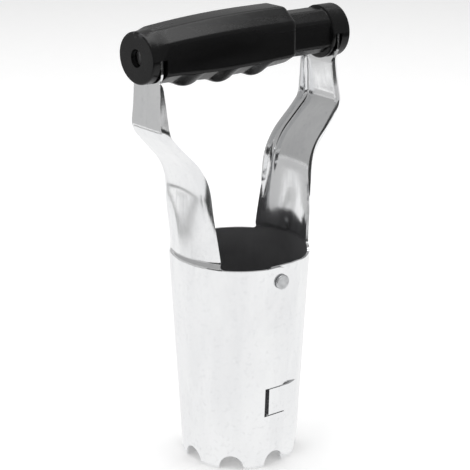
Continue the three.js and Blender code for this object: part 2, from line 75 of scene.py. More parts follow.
# The window, with its flared lip above and the other half's tab inside it.
WINDOW_LOW = 28
WINDOW_HIGH = 43.3
WINDOW_DEPTH = 7
FLARE_HEIGHT = 3.6
FLARE_START = 0.3
FLARE_FAR = 1.2
TAB_GAP_SIDE = 2
TAB_GAP = 0.7
TAB_OVERLAP = 2.5

PIVOT_HEIGHT = TUBE_HEIGHT - 7.7
RIVET_RADIUS = 2.5
RIVET_CLEARANCE = 0.1
RIVET_HEAD = 3.7
RIVET_HEAD_HEIGHT = 1.2
RIVET_TAIL_ROUND = 0.4
RIVET_CHAMFER = 0.12
RIVET_DIMPLE = 0.16
HEAD_GAP = 0.1

# The arms: a rounded web at the tube, then a channel with flanges, then a flat tongue in the handle.
ARM_ANGLE = 37.65
BASE_FILLET = 2
BASE_STEP = 0.8
STEP_SPREAD = 1.2
STEP_SPREAD_EDGE = 1.4
WAIST_HEIGHT = 152.5
WAIST_BEND = 26
KNEE_HEIGHT = 174.8
KNEE_REACH = 54.1
KNEE_BEND = 11
LEFT_REACH = 53.2
RIGHT_REACH = 51.5
# Rows of height and half width of the web.
WEB_SHAPE = [(107, 21), (125, 19.3), (141, 17.2), (152, 16), (162, 15.3), (171, 14.2), (178, 13.7)]
WEB_SHAPE += [(186, 12.8), (194, 12.4), (202, 12.4)]
# Rows of height and flange depths: left front, left back, right front, right back.
FLANGE_SHAPE = [
    (140, 3.8, 5.6, 4.4, 5.6),
    (165, 2.6, 4.4, 4.4, 4.4),
    (178, 3, 5.1, 4.6, 5.1),
    (200, 1, 2.6, 4.2, 2.6),
]
CHANNEL_BASE = 109
CHANNEL_FULL = 152
FLANGE_BEND = 3.4
FLANGE_TOP = 199
FLANGE_SHOULDER = 2.5
TONGUE_HALF = 12.4
TONGUE_PART = 0.88
FLATTENING = 6
EAR_RADIUS = 7
EAR_HOLE = 2.8

# The handle: the sleeve's cap, belly and mouth, then the plunger's neck and end.
HANDLE_HEIGHT = 210.3
HANDLE_HALF = 58.9
CAP_TOP = 12.2
CAP_SIDE = 14.2
CAP_ROUND = 0.8
EDGE_ROUND = 1.2
GRIP_TOP = 16.2
GRIP_TOP_X = 8
GRIP_BELLY = 13.3
GRIP_BELLY_X = -20
GRIP_SIDE = 15.1
GRIP_SETBACK = 0.3
HEEL_RISE = 1.5
HEEL_LENGTH = 30
NOSE_RISE = 2.2
# The grip's and neck's octagon, as shares of their half width, top and bottom.
TOP_FLAT = 0.43
TOP_CORNER = 0.61
BOTTOM_FLAT = 0.45
BOTTOM_CORNER = 0.58
MOUTH_X = 24
MOUTH_ROUND = 4
BUMPS = 3
SLEEVE_LENGTH = MOUTH_X + HANDLE_HALF
BUMP_X = 0.267 * SLEEVE_LENGTH - HANDLE_HALF
BUMP_PITCH = 0.246 * SLEEVE_LENGTH
BUMP_LENGTH = 0.157 * SLEEVE_LENGTH
BUMP_DEPTH = 2.3
BUMP_POWER = 0.8
NECK_TOP = 11.6
NECK_BOTTOM = 9.8
NECK_HALF = 10.8
NECK_START = 4
NECK_CLEARANCE = 0.4
NECK_TRAVEL = 20.6
END_RADIUS = 13.1
END_START = 48
END_ROUND = 1.4
END_CORNER = [(0, 0.8), (0.15, 0.35), (0.5, 0)]  # along, and in from the full radius
SLOT_WIDTH = 3.9
SLOT_CLEARANCE = 0.5

SPRING_BORE = 7
SPRING_RADIUS = 5.6
SPRING_WIRE = 1.5
SPRING_COILS = 13
SPRING_GAP = 0.4
SPRING_SLACK = 0.02
STEPS_PER_COIL = 44
BOSS_LENGTH = 6
ACCESS_RADIUS = 4.25
SCREW_RADIUS = 1.8
SCREW_CLEARANCE = 0.3
SCREW_SEAT = 0.8

RIM_MID = RIM_RADIUS - SHEET / 2
CUT_MID = CUT_RADIUS - SHEET / 2
ARM_MID = RIM_MID - BASE_STEP
TONGUE_ANGLE = TONGUE_PART * ARM_ANGLE
FLANGE_DROP = HANDLE_HEIGHT - FLANGE_TOP
WALL_TILT = (RIM_MID - CUT_MID) / TUBE_HEIGHT

# ---- Mesh tools ----


def lerp(a, b, t):
    return a + (b - a) * t


def clamp(x, low, high):
    return max(low, min(high, x))


def smooth(x, low, high):
    t = clamp((x - low) / (high - low), 0, 1)
    return t * t * (3 - 2 * t)


def filled(values, step):
    """Sorted values with the gaps over the step filled evenly."""
    out = []
    for value in sorted(values):
        if not out:
            out.append(value)
            continue
        last = out[-1]
        if value - last < 0.05:
            continue
        parts = math.ceil((value - last) / step)
        out += [lerp(last, value, k / parts) for k in range(1, parts + 1)]
    return out


def mesh_object(name, points, faces):
    """A mesh of points in millimetres, as an object in metres with its faces pointing out."""
    data = bpy.data.meshes.new(name)
    data.from_pydata([[x * MM for x in p] for p in points], [], faces)
    mesh = bmesh.new()
    mesh.from_mesh(data)
    bmesh.ops.recalc_face_normals(mesh, faces=mesh.faces)
    mesh.to_mesh(data)
    mesh.free()
    obj = bpy.data.objects.new(name, data)
    bpy.context.scene.collection.objects.link(obj)
    return obj


def apply_modifiers(obj):
    bpy.context.view_layer.update()
    graph = bpy.context.evaluated_depsgraph_get()
    data = bpy.data.meshes.new_from_object(obj.evaluated_get(graph))
    obj.modifiers.clear()
    obj.data = data


def combine(obj, others, operation="DIFFERENCE"):
    """Cuts the other solids out of obj, or joins them to it, and removes them."""
    for other in others:
        modifier = obj.modifiers.new("solid", "BOOLEAN")
        modifier.operation = operation
        modifier.solver = "MANIFOLD"
        modifier.object = other
    apply_modifiers(obj)
    for other in others:
        bpy.data.objects.remove(other)


def box_solid(low, high):
    xs, ys, zs = zip(low, high)
    points = [(x, y, z) for z in zs for y in ys for x in xs]
    faces = [(0, 2, 3, 1), (4, 5, 7, 6), (0, 1, 5, 4), (2, 6, 7, 3), (0, 4, 6, 2), (1, 3, 7, 5)]
    return mesh_object("cutter", points, faces)


def bridge(rings):
    """Rings of points, each with as many points, joined into a closed solid with flat ends."""
    sides = len(rings[0])
    points = [p for ring in rings for p in ring]
    faces = []
    for k in range(len(rings) - 1):
        for i in range(sides):
            a, b = k * sides + i, k * sides + (i + 1) % sides
            faces.append((a, b, b + sides, a + sides))
    faces.append(tuple(range(sides - 1, -1, -1)))
    last = (len(rings) - 1) * sides
    faces.append(tuple(range(last, last + sides)))
    return points, faces


def lathe(name, profile, place, sides=96):
    """A profile of (along, radius) turned around an axis; place gives a point from its polar place."""
    rings = []
    for along, radius in profile:
        angles = [2 * math.pi * i / sides for i in range(sides)]
        rings.append([place(along, radius * math.cos(a), radius * math.sin(a)) for a in angles])
    return mesh_object(name, *bridge(rings))


def bar_x(radius, x0, x1):
    return lathe("cutter", [(x0, radius), (x1, radius)], lambda x, y, w: (x, y, HANDLE_HEIGHT + w))


def bar_y(radius, y0, y1, z):
    return lathe("cutter", [(y0, radius), (y1, radius)], lambda y, x, w: (x, y, z + w))


def shade(obj, angle=32):
    """Smooth shading that stays crisp along edges that turn more than the angle."""
    data = obj.data
    data.polygons.foreach_set("use_smooth", [True] * len(data.polygons))
    mesh = bmesh.new()
    mesh.from_mesh(data)
    for edge in mesh.edges:
        edge.smooth = edge.calc_face_angle(0) < math.radians(angle)
    mesh.to_mesh(data)
    mesh.free()
    weighted = obj.modifiers.new("normals", "WEIGHTED_NORMAL")
    weighted.keep_sharp = True
    weighted.weight = 60
    apply_modifiers(obj)


# ---- Pressed steel halves ----

ROW_STEP = 1.4
COLUMN_STEP = 1.3
TAB_STEP = 1.2
BASE_ROWS = [0.4, 0.8, 1.2, 1.6, 2, 2.6, 3.4, 5]


def middle_radius(z):
    return lerp(CUT_MID, RIM_MID, min(z / TUBE_HEIGHT, 1))


def lap_angle(reach):
    return 90 + math.degrees(math.asin(reach / RIM_MID))


def joggle_part(angle):
    if angle > 0:
        return 0
    from_seam = RIM_MID * math.cos(math.radians(angle))
    return 1 - smooth(from_seam, JOGGLE_END, JOGGLE_START)


def step_part(angle, z):
    spread = STEP_SPREAD + STEP_SPREAD_EDGE * min(abs(angle) / ARM_ANGLE, 1) ** 2
    middle = TUBE_HEIGHT + BASE_FILLET
    return smooth(z, middle - spread, middle + spread)


def wall_point(angle, z, joggled=True):
    radius = middle_radius(z) - BASE_STEP * step_part(angle, z)
    flat = math.cos(math.radians(PAD_ANGLE))
    side = clamp(math.sin(math.radians(angle)), -flat, flat)
    inwards = (SHEET + LAP_GAP) * joggle_part(angle) if joggled else 0
    return (radius * math.cos(math.radians(angle)), radius * side + inwards, z)


def tooth_bottom(angle):
    pitch = 360 / NOTCHES
    away = abs(angle - pitch * math.floor(angle / pitch + 0.5)) / NOTCH_ANGLE
    return NOTCH_HEIGHT * math.sqrt(1 - away * away) if away < 1 else -TRIM


def rim_top(angle):
    from_arm = math.radians(max(abs(angle) - ARM_ANGLE, 0)) * RIM_MID
    rise = max(BASE_FILLET - from_arm, 0)
    x = RIM_MID * math.cos(math.radians(angle))
    past = clamp(LAP_CORNER - OUTER_LAP - x, 0, LAP_CORNER)
    corner = LAP_CORNER - math.sqrt(LAP_CORNER**2 - past**2) if angle > 0 else 0
    return TUBE_HEIGHT + BASE_FILLET - math.sqrt(BASE_FILLET**2 - rise**2) - corner


class Crown:
    """The arm's crown line at mid-sheet, in the XZ plane, by length."""

    def __init__(self, reach):
        low, high = TUBE_HEIGHT + BASE_FILLET, KNEE_HEIGHT + 2 * KNEE_BEND
        corners = [(ARM_MID, low), (ARM_MID, WAIST_HEIGHT), (KNEE_REACH, KNEE_HEIGHT), (reach, high)]
        corners = [Vector(p) for p in [*corners, (reach, HANDLE_HEIGHT)]]
        points = [corners[0]]
        self.bends = []
        for i, radius in enumerate((WAIST_BEND, KNEE_BEND, KNEE_BEND)):
            corner = corners[i + 1]
            before = (corners[i] - corner).normalized()
            after = (corners[i + 2] - corner).normalized()
            cut = radius * math.tan((math.pi - before.angle(after)) / 2)
            enter, leave = corner + before * cut, corner + after * cut
            self.bends.append(len(points))
            for k in range(121):
                t = k / 120
                points.append(enter * (1 - t) ** 2 + corner * (2 * t * (1 - t)) + leave * t**2)
            self.bends.append(len(points) - 1)
        points.append(corners[4])
        self.points = np.array(points)
        steps = np.linalg.norm(np.diff(self.points, axis=0), axis=1)
        self.lengths = np.concatenate([[0], np.cumsum(steps)])
        self.length = float(self.lengths[-1])
        self.bends = [float(self.lengths[i]) for i in self.bends[:4]]

    def at(self, length):
        return [float(np.interp(length, self.lengths, self.points[:, i])) for i in (0, 1)]

    def along(self, length):
        a = self.at(max(length - 0.2, 0))
        b = self.at(min(length + 0.2, self.length))
        size = math.dist(a, b)
        return (b[0] - a[0]) / size, (b[1] - a[1]) / size


def between(table, z, column=1):
    """A value between the rows of a table of heights and values, without kinks."""
    last = len(table) - 1
    above = next((k for k, row in enumerate(table) if row[0] > z), -1)
    row = last - 1 if above < 0 else max(above - 1, 0)
    at = lambda k: table[clamp(k, 0, last)]
    z0, z1 = at(row)[0], at(row + 1)[0]
    t = clamp((z - z0) / (z1 - z0), 0, 1)
    slope = lambda k: (at(k + 1)[column] - at(k - 1)[column]) / (at(k + 1)[0] - at(k - 1)[0])
    v0, v1 = at(row)[column], at(row + 1)[column]
    d0, d1 = slope(row) * (z1 - z0), slope(row + 1) * (z1 - z0)
    return v0 + t * d0 + t**2 * (3 * (v1 - v0) - 2 * d0 - d1) + t**3 * (2 * (v0 - v1) + d0 + d1)


def arc_section(part, z):
    half = math.asin(between(WEB_SHAPE, z) / ARM_MID)
    return ARM_MID * math.sin(part * half), ARM_MID * (1 - math.cos(part * half))


def channel_section(part, z, side):
    half = between(WEB_SHAPE, z)
    backwards = 1 if part * side > 0 else 0
    depth = between(FLANGE_SHAPE, z, (1 if side < 0 else 3) + backwards)
    full_turn = math.acos(max(1 - depth / FLANGE_BEND, 0))
    developed = half - FLANGE_BEND + FLANGE_BEND * full_turn + max(depth - FLANGE_BEND, 0)
    along = abs(part) * developed
    turn = clamp((along - half + FLANGE_BEND) / FLANGE_BEND, 0, math.pi / 2)
    flange = max(along - half + FLANGE_BEND - math.pi / 2 * FLANGE_BEND, 0)
    web = min(along, half - FLANGE_BEND)
    outwards = web + FLANGE_BEND * math.sin(turn)
    return math.copysign(outwards, part), FLANGE_BEND * (1 - math.cos(turn)) + flange


def arm_point(arm, angle, length):
    side, crown = arm
    x, height = crown.at(length)
    dx, dz = crown.along(length)
    part = angle / ARM_ANGLE
    arc = arc_section(part, height)
    channel = channel_section(part, height, side)
    pressed = smooth(height, CHANNEL_BASE, CHANNEL_FULL)
    flattened = smooth(height, FLANGE_TOP - 1, FLANGE_TOP + FLATTENING - 1)
    flat = part / TONGUE_PART * TONGUE_HALF
    across = lerp(lerp(arc[0], channel[0], pressed), flat, flattened)
    depth = lerp(lerp(arc[1], channel[1], pressed), 0, flattened)
    depth -= BASE_STEP * (1 - step_part(angle, height))
    return x - dz * depth, across, height + dx * depth


def column(arm, angle, row_step):
    """Mid-sheet points up the half at one angle, from the tooth to the rim, or on up the arm to its ear."""
    low, high = tooth_bottom(angle), rim_top(angle)
    fine, rows = 6, 36
    heights = [lerp(low, high - fine, k / rows) for k in range(rows)]
    heights += [high - fine + 0.5 * k for k in range(2 * fine + 1)]
    points = [wall_point(angle, z) for z in heights]
    if abs(angle) > ARM_ANGLE + 1e-6:
        return points
    crown = arm[1]
    top = crown.length - FLANGE_DROP
    outside = max(abs(angle) - TONGUE_ANGLE, 0) / (ARM_ANGLE - TONGUE_ANGLE)
    end = top - FLANGE_SHOULDER * outside**2
    last = crown.bends[3]
    for length in filled([*BASE_ROWS, *crown.bends, top], row_step):
        if length > last:
            length = lerp(last, end, (length - last) / (top - last))
        points.append(arm_point(arm, angle, length))
    if abs(angle) > TONGUE_ANGLE + 1e-6:
        return points
    side = angle / TONGUE_ANGLE * TONGUE_HALF
    ear = math.sqrt(max(EAR_RADIUS**2 - side**2, 0))
    for length in filled([top + 0.5, top + FLATTENING, crown.length], 1):
        x, y, z = arm_point(arm, angle, length)
        points.append((x, y, z + ear * (z - FLANGE_TOP) / FLANGE_DROP))
    return points


def column_angles(step):
    """The angles of the columns: closer at the notches, the arm's edges, the joggle and the laps."""
    pitch = 360 / NOTCHES
    angles = [0, ARM_ANGLE, TONGUE_ANGLE, 90 - PAD_ANGLE]
    for notch in range(3):
        for part in (0, 0.2, 0.38, 0.55, 0.69, 0.8, 0.885, 0.945, 0.982, 1):
            angles += [notch * pitch + part * NOTCH_ANGLE, notch * pitch - part * NOTCH_ANGLE]
    for part in (0.15, 0.35, 0.6, 1, 1.5, 2):
        angles.append(ARM_ANGLE + math.degrees(part * BASE_FILLET / 2 / RIM_MID))
    for part in (1, 0.99, 0.96, 0.9, 0.8):
        angles.append(part * EAR_RADIUS / TONGUE_HALF * TONGUE_ANGLE)
    front = angles + [math.degrees(math.acos(x / RIM_MID)) for x in (JOGGLE_START, JOGGLE_END)]
    back = angles + [lap_angle(part * OUTER_LAP) for part in (0.2, 0.4, 0.6, 0.75, 0.87, 0.95)]
    keep = lambda values, end: [a for a in values if 0 < a < end - 0.1] + [end]
    negative = [-a for a in keep(front, lap_angle(INNER_LAP))]
    return filled([*negative, 0, *keep(back, lap_angle(OUTER_LAP))], step)


def thicken(name, columns):
    """Columns of points, each running upwards, become one sheet with its thickness on both sides."""
    start = np.concatenate([[0], np.cumsum([len(c) for c in columns])])
    points = np.array([p for c in columns for p in c])
    faces = []
    for i in range(len(columns) - 1):
        for k in range(min(len(columns[i]), len(columns[i + 1])) - 1):
            a, b = int(start[i]) + k, int(start[i + 1]) + k
            faces.append((a, b, b + 1, a + 1))
    quads = np.array(faces)
    corners = points[quads]
    normals = np.cross(corners[:, 2] - corners[:, 0], corners[:, 3] - corners[:, 1])
    total = np.zeros_like(points)
    for k in range(4):
        np.add.at(total, quads[:, k], normals)
    total /= np.linalg.norm(total, axis=1)[:, None]
    count = len(points)
    outer, inner = points + total * SHEET / 2, points - total * SHEET / 2
    edges = {}
    for face in faces:
        for a, b in zip(face, face[1:] + face[:1]):
            if (b, a) in edges:
                del edges[b, a]
            else:
                edges[a, b] = True
    closed = list(faces)
    closed += [(a + count, d + count, c + count, b + count) for a, b, c, d in faces]
    closed += [(b, a, a + count, b + count) for a, b in edges]
    return mesh_object(name, np.concatenate([outer, inner]).tolist(), closed)


def window_flare():
    x0, x1 = -OUTER_LAP / 2, -FLARE_FAR * OUTER_LAP
    low, high = WINDOW_HIGH - 1, WINDOW_HIGH + FLARE_HEIGHT
    section = [(x0, low), (x0, WINDOW_HIGH - FLARE_START), (x1, high), (x1, low)]
    rings = [[(x, y, z) for x, z in section] for y in (0, 2 * RIM_RADIUS)]
    return mesh_object("cutter", *bridge(rings))


def pressed_half(name, side):
    """A half of the planter, drawn as the right one; the left one is turned half a turn."""
    crown = Crown(LEFT_REACH if side < 0 else RIGHT_REACH)
    columns = [column((side, crown), angle, ROW_STEP) for angle in column_angles(COLUMN_STEP)]
    obj = thicken(name, columns)
    far = 2 * RIM_RADIUS
    scale = middle_radius((WINDOW_LOW + WINDOW_HIGH) / 2) / RIM_MID
    edge = TAB_GAP - LAP_GAP
    combine(
        obj,
        [
            box_solid((-far, 0, WINDOW_LOW), (WINDOW_DEPTH, far, WINDOW_HIGH)),
            window_flare(),
            box_solid((-far, -far, WINDOW_LOW + edge), (JOGGLE_END * scale, 0, WINDOW_HIGH - edge)),
        ],
    )
    first = -lap_angle(WINDOW_DEPTH - TAB_GAP_SIDE)
    last = -math.degrees(math.acos((JOGGLE_START - TAB_OVERLAP) / RIM_MID))
    heights = filled([WINDOW_LOW + TAB_GAP, WINDOW_HIGH - TAB_GAP], TAB_STEP)
    tab = [[wall_point(a, z, False) for z in heights] for a in filled([first, -90, last], 1)]
    combine(obj, [thicken("tab", tab)], "UNION")
    combine(
        obj,
        [
            box_solid((-far, -far, -2 * TRIM), (far, far, 0)),
            bar_y(RIVET_RADIUS + RIVET_CLEARANCE, -far, far, PIVOT_HEIGHT),
            bar_x(EAR_HOLE, 0, far),
        ],
    )
    if side < 0:
        obj.data.transform(Matrix.Rotation(math.pi, 4, "Z"))
    return obj


# ---- Rivets, handle and spring ----


def rivet(name, side):
    gap = HEAD_GAP + WALL_TILT * RIVET_HEAD
    outside = wall_point(90, PIVOT_HEIGHT)[1] + SHEET / 2 + gap
    inside = wall_point(90, PIVOT_HEIGHT)[1] - 1.5 * SHEET - LAP_GAP - gap
    edge = RIVET_HEAD_HEIGHT / 3
    high, low = outside + RIVET_HEAD_HEIGHT, inside - RIVET_HEAD_HEIGHT
    tail = RIVET_HEAD - edge
    profile = [(low, tail - RIVET_TAIL_ROUND), (low + RIVET_CHAMFER, tail - RIVET_CHAMFER)]
    profile += [(low + RIVET_TAIL_ROUND, tail), (inside, tail), (inside, RIVET_RADIUS)]
    profile += [(outside, RIVET_RADIUS), (outside, RIVET_HEAD)]
    for k in range(6):
        turn = k / 5 * math.pi / 2
        profile.append((high - edge + edge * math.sin(turn), RIVET_HEAD - edge + edge * math.cos(turn)))
    profile.append((high - RIVET_CHAMFER, RIVET_HEAD * 0.55))
    profile.append((high - RIVET_DIMPLE, RIVET_HEAD * 0.25))
    return lathe(name, profile, lambda y, x, w: (side * x, side * y, PIVOT_HEIGHT + w), 64)


def ring(x, top, bottom, side, roundness=0, ellipse=(1, 1), bump=0):
    """A cross-section of the handle: an octagon with its long flats at the sides, or an ellipse.
    A bump lowers only the octagon's bottom flat."""
    high, low = TOP_CORNER * top, -BOTTOM_CORNER * bottom
    corners = [(side, high), (TOP_FLAT * side, top), (-TOP_FLAT * side, top), (-side, high)]
    corners += [(-side, low), (-BOTTOM_FLAT * side, -bottom - bump)]
    corners += [(BOTTOM_FLAT * side, -bottom - bump), (side, low)]
    corners = [Vector(c) for c in corners]
    arc_steps, flat_steps = 6, 5
    points = []
    for i, corner in enumerate(corners):
        before = corner + (corners[i - 1] - corner).normalized() * EDGE_ROUND
        onwards = corners[(i + 1) % 8]
        after = corner + (onwards - corner).normalized() * EDGE_ROUND
        end = onwards + (corner - onwards).normalized() * EDGE_ROUND
        for k in range(arc_steps):
            t = k / arc_steps
            at = before * (1 - t) ** 2 + corner * (2 * t * (1 - t)) + after * t**2
            points.append((at, 45 * i + 11.25 + 22.5 * t))
        for k in range(flat_steps):
            t = k / flat_steps
            points.append((after.lerp(end, t), 45 * i + 33.75 + 22.5 * t))
    out = []
    for at, angle in points:
        a = math.radians(angle)
        at = at.lerp(Vector((ellipse[0] * math.cos(a), ellipse[1] * math.sin(a))), roundness)
        out.append((x, at.x, HANDLE_HEIGHT + at.y))
    return out


def bump_at(x):
    depth = 0
    for i in range(BUMPS):
        away = 2 * (x - BUMP_X - i * BUMP_PITCH) / BUMP_LENGTH
        if abs(away) < 1:
            depth += BUMP_DEPTH * (1 - away * away) ** BUMP_POWER
    return depth


def grip_ring(x):
    back = clamp((GRIP_TOP_X - x) / (GRIP_TOP_X + HANDLE_HALF), 0, 1)
    top = lerp(GRIP_TOP, CAP_TOP - GRIP_SETBACK, back**2)
    side = lerp(GRIP_SIDE, CAP_SIDE, back**2)
    forward = max(x - GRIP_BELLY_X, 0) / (MOUTH_X - GRIP_BELLY_X)
    heel = smooth(GRIP_BELLY_X - x, 0, HEEL_LENGTH)
    bottom = GRIP_BELLY - HEEL_RISE * heel - NOSE_RISE * forward**2
    closing = clamp((x - MOUTH_X + MOUTH_ROUND) / MOUTH_ROUND, 0, 1)
    keep = math.sqrt(1 - closing**2)
    wall = NECK_CLEARANCE + EDGE_ROUND
    shut = lambda size, neck: lerp(min(neck + wall, size), size, keep)
    roundness = 1 - smooth(x, -LEFT_REACH - SLOT_WIDTH / 2, -LEFT_REACH + SLOT_WIDTH)
    sizes = shut(top, NECK_TOP), shut(bottom, NECK_BOTTOM), shut(side, NECK_HALF)
    return ring(x, *sizes, roundness, (side, max(CAP_TOP, top)), bump_at(x))


def arm_slot(x):
    low, high, far = x - SLOT_WIDTH / 2, x + SLOT_WIDTH / 2, 2 * END_RADIUS
    slot = box_solid((low, -far, HANDLE_HEIGHT - far), (high, far, HANDLE_HEIGHT + SLOT_CLEARANCE))
    combine(slot, [bar_x(EAR_RADIUS + SLOT_CLEARANCE, low, high)], "UNION")
    return slot


def boss_end(reach):
    return reach - SLOT_WIDTH / 2 - BOSS_LENGTH


def grip_sleeve():
    rounding = []
    for k in range(6):
        turn = k / 5 * math.pi / 2
        inset = CAP_ROUND * (1 - math.sin(turn))
        x = -HANDLE_HALF + CAP_ROUND * (1 - math.cos(turn))
        rounding.append(ring(x, CAP_TOP, CAP_TOP, CAP_SIDE, 1, (CAP_SIDE - inset, CAP_TOP - inset)))
    mouth = [MOUTH_X - MOUTH_ROUND * (1 - math.sin(k / 10 * math.pi / 2)) for k in range(11)]
    slot_sides = [-LEFT_REACH + part * SLOT_WIDTH for part in (-0.5, -0.2, 0.1, 0.4, 0.7, 1)]
    parts = (-0.5, -0.49, -0.47, -0.44, 0, 0.44, 0.47, 0.49, 0.5)
    bumps = [BUMP_X + i * BUMP_PITCH + part * BUMP_LENGTH for i in range(BUMPS) for part in parts]
    stations = filled([-HANDLE_HALF + CAP_ROUND + 0.4, *slot_sides, *bumps, *mouth], 1)
    obj = mesh_object("moulded_grip", *bridge([*rounding, *[grip_ring(x) for x in stations]]))
    pocket = [size + NECK_CLEARANCE for size in (NECK_TOP, NECK_BOTTOM, NECK_HALF)]
    ends = [ring(x, *pocket) for x in (NECK_START - NECK_TRAVEL, 2 * MOUTH_X)]
    boss = boss_end(LEFT_REACH)
    combine(
        obj,
        [
            mesh_object("cutter", *bridge(ends)),
            bar_x(SPRING_BORE, -boss, NECK_START),
            arm_slot(-LEFT_REACH),
            bar_x(ACCESS_RADIUS, -2 * HANDLE_HALF, -LEFT_REACH),
            bar_x(SCREW_RADIUS + SCREW_CLEARANCE, -LEFT_REACH, -boss - SCREW_SEAT),
        ],
    )
    return obj


def grip_plunger():
    neck = lambda x: ring(x, NECK_TOP, NECK_BOTTOM, NECK_HALF)
    end = lambda x, inset: ring(x, 1, 1, 1, 1, (END_RADIUS - inset, END_RADIUS - inset))
    rings = [neck(x) for x in filled([NECK_START, END_START - 0.3], 1.5)]
    rings += [end(END_START + along, inset) for along, inset in END_CORNER]
    rings += [end(x, 0) for x in filled([END_START + 1, HANDLE_HALF - END_ROUND - 0.3], 1)]
    for k in range(8):
        turn = k / 7 * math.pi / 2
        x = HANDLE_HALF - END_ROUND * (1 - math.sin(turn))
        rings.append(end(x, END_ROUND * (1 - math.cos(turn))))
    obj = mesh_object("moulded_plunger", *bridge(rings))
    boss = boss_end(RIGHT_REACH)
    combine(
        obj,
        [
            bar_x(SPRING_BORE, 0, boss),
            arm_slot(RIGHT_REACH),
            bar_x(ACCESS_RADIUS, RIGHT_REACH, 2 * HANDLE_HALF),
            bar_x(SCREW_RADIUS + SCREW_CLEARANCE, boss + SCREW_SEAT, RIGHT_REACH),
        ],
    )
    return obj


def return_spring():
    inset = SPRING_GAP + SPRING_WIRE / 2
    first, last = inset - boss_end(LEFT_REACH), boss_end(RIGHT_REACH) - inset
    pitch = (last - first) / SPRING_COILS
    steps, sides = STEPS_PER_COIL * SPRING_COILS, 12
    radius = SPRING_WIRE / 2 - SPRING_SLACK
    rings = []
    for k in range(steps + 1):
        t = k / steps
        a = 2 * math.pi * SPRING_COILS * t
        y, z = SPRING_RADIUS * math.cos(a), SPRING_RADIUS * math.sin(a)
        centre = Vector((lerp(first, last, t), y, z))
        outwards = Vector((0, math.cos(a), math.sin(a)))
        turn = 2 * math.pi * SPRING_RADIUS
        along = Vector((pitch, -turn * math.sin(a), turn * math.cos(a))).normalized()
        other = along.cross(outwards)
        angles = [2 * math.pi * i / sides for i in range(sides)]
        around = [centre + radius * (outwards * math.cos(b) + other * math.sin(b)) for b in angles]
        rings.append([(p.x, p.y, HANDLE_HEIGHT + p.z) for p in around])
    return mesh_object("coiled_spring", *bridge(rings))


# ---- Materials ----


class Nodes:
    """A material's node tree, with short ways to add and join nodes."""

    def __init__(self, name):
        self.material = bpy.data.materials.new(name)
        self.material.use_nodes = True
        self.tree = self.material.node_tree
        self.shader = self.tree.nodes["Principled BSDF"]
        coordinates = self.tree.nodes.new("ShaderNodeTexCoord")
        self.place = coordinates.outputs["Object"]

    def join(self, source, target):
        self.tree.links.new(source, target)

    def scaled(self, factors):
        mapping = self.tree.nodes.new("ShaderNodeMapping")
        mapping.inputs["Scale"].default_value = factors
        self.join(self.place, mapping.inputs["Vector"])
        return mapping.outputs["Vector"]

    def noise(self, scale, detail=3, roughness=0.55, stretch=None, distortion=0):
        node = self.tree.nodes.new("ShaderNodeTexNoise")
        node.inputs["Scale"].default_value = scale
        node.inputs["Detail"].default_value = detail
        node.inputs["Roughness"].default_value = roughness
        node.inputs["Distortion"].default_value = distortion
        self.join(self.scaled(stretch) if stretch else self.place, node.inputs["Vector"])
        return node.outputs["Fac"]

    def range(self, value, low, high, start=0.3, end=0.7):
        node = self.tree.nodes.new("ShaderNodeMapRange")
        values = (start, end, low, high)
        for name, number in zip(("From Min", "From Max", "To Min", "To Max"), values):
            node.inputs[name].default_value = number
        self.join(value, node.inputs["Value"])
        return node.outputs["Result"]

    def mix(self, factor, a, b):
        node = self.tree.nodes.new("ShaderNodeMix")
        node.data_type = "RGBA"
        for value, socket in ((factor, node.inputs[0]), (a, node.inputs[6]), (b, node.inputs[7])):
            if hasattr(value, "links"):
                self.join(value, socket)
            else:
                socket.default_value = (*value, 1) if isinstance(value, tuple) else value
        return node.outputs[2]

    def math(self, operation, a, b):
        node = self.tree.nodes.new("ShaderNodeMath")
        node.operation = operation
        for value, socket in zip((a, b), node.inputs):
            if hasattr(value, "links"):
                self.join(value, socket)
            else:
                socket.default_value = value
        return node.outputs[0]

    def height(self, axis):
        node = self.tree.nodes.new("ShaderNodeSeparateXYZ")
        self.join(self.place, node.inputs[0])
        return node.outputs[axis]

    def bump(self, value, distance, strength=1.0, onto=None):
        node = self.tree.nodes.new("ShaderNodeBump")
        node.inputs["Distance"].default_value = distance
        node.inputs["Strength"].default_value = strength
        self.join(value, node.inputs["Height"])
        if onto is not None:
            self.join(onto, node.inputs["Normal"])
        return node.outputs["Normal"]

    def finish(self, colour, roughness, normal):
        self.join(colour, self.shader.inputs["Base Color"])
        self.join(roughness, self.shader.inputs["Roughness"])
        self.join(normal, self.shader.inputs["Normal"])
        return self.material


def bright_steel():
    """Bright zinc plate: nearly mirror-like, cloudy in places, with fine drawing marks along the arms."""
    n = Nodes("bright_steel")
    n.shader.inputs["Metallic"].default_value = 1
    clouds = n.noise(60, 4, 0.6, stretch=(1, 1, 0.3), distortion=0.4)
    specks = n.noise(420, 3, 0.6)
    scratches = n.noise(900, 2, 0.5, stretch=(1, 1, 0.035))
    shade_of = n.mix(n.range(clouds, 0, 1, 0.35, 0.68), (0.92, 0.925, 0.93), (0.85, 0.855, 0.865))
    colour = n.mix(n.range(specks, 0, 0.35, 0.55, 0.8), shade_of, (0.66, 0.665, 0.68))
    rough = n.math("ADD", n.range(clouds, 0.07, 0.15), n.range(scratches, 0, 0.05))
    waves = n.bump(n.noise(28, 2, 0.4), 0.0004, 0.55)
    grain = n.bump(scratches, 0.000012, 0.6, waves)
    pits = n.bump(specks, 0.00003, 0.35, grain)
    return n.finish(colour, rough, pits)


